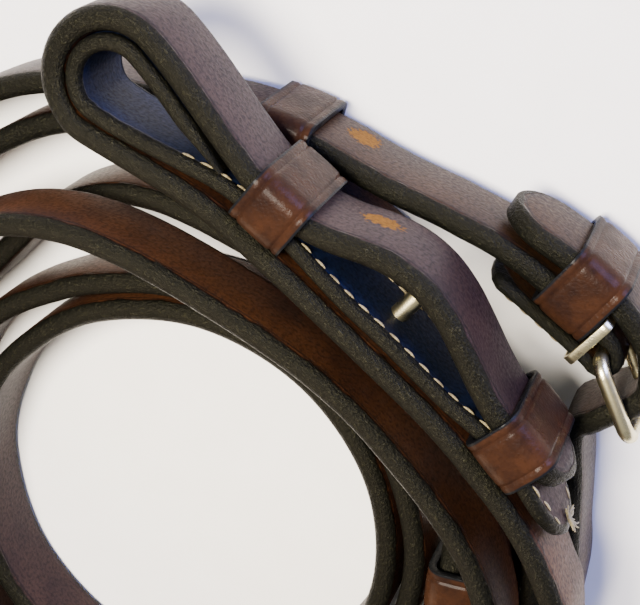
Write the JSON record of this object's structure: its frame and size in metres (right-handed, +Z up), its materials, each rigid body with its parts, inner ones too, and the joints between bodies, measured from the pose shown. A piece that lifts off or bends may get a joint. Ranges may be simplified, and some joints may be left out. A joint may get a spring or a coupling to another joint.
{
  "type": "leather headcollar straps",
  "caption": "Coiled bundle of narrow brown bridle-leather straps with hook-stud ends, navy lining, leather keepers and a buckle.",
  "frame": {"origin": "middle of the bundle in plan, on the surface that it lies on", "axes": "+Z up out of the surface, along the strap widths and the axis that the coil turns round; +X towards the buckle's side, +Y towards the lined loop's side"},
  "size_m": [0.1761, 0.1826, 0.0397],
  "materials": {
    "strap": "waxed bridle leather, dark brown faces with burnished black-brown edges",
    "lining": "navy lining leather with a fine grain and a cut edge",
    "keeper": "glossy orange-brown keeper leather with two creased lines",
    "thread": "waxed cream linen thread",
    "metal": "polished pale brass, slightly dulled"
  },
  "bodies": {
    "root": {"near_strap": "strap", "near_lining": "lining", "near_keeper_first": "keeper", "near_keeper_second": "keeper", "near_hook_stud": "metal", "near_stitching": "thread", "second_strap": "strap", "second_lining": "lining", "second_keeper_first": "keeper", "second_keeper_second": "keeper", "second_hook_stud": "metal", "second_stitching": "thread", "binding_strap": "strap", "buckle_chape": "strap", "buckle_keeper": "keeper", "chape_stitching": "thread", "buckle_loop": "metal"},
    "buckle_frame": {"buckle_frame": "metal"},
    "buckle_tongue": {"buckle_tongue": "metal"},
    "runner": {"runner_keeper": "keeper"}
  },
  "joints": [
    {"name": "buckle_hinge", "type": "hinge", "parent": "root", "child": "buckle_frame", "pos_m": [0.07799, 0.03646, 0.011], "axis": [0, 0, 1], "range_deg": [-2, 2]},
    {"name": "tongue_hinge", "type": "hinge", "parent": "buckle_frame", "child": "buckle_tongue", "pos_m": [0.07799, 0.03646, 0.011], "axis": [0, 0, 1], "range_deg": [0, 2]},
    {"name": "runner_slide", "type": "hinge", "parent": "root", "child": "runner", "pos_m": [0.00006, -0.01022, 0.01], "axis": [0, 0, 1], "range_deg": [-5, 6]}
  ]
}
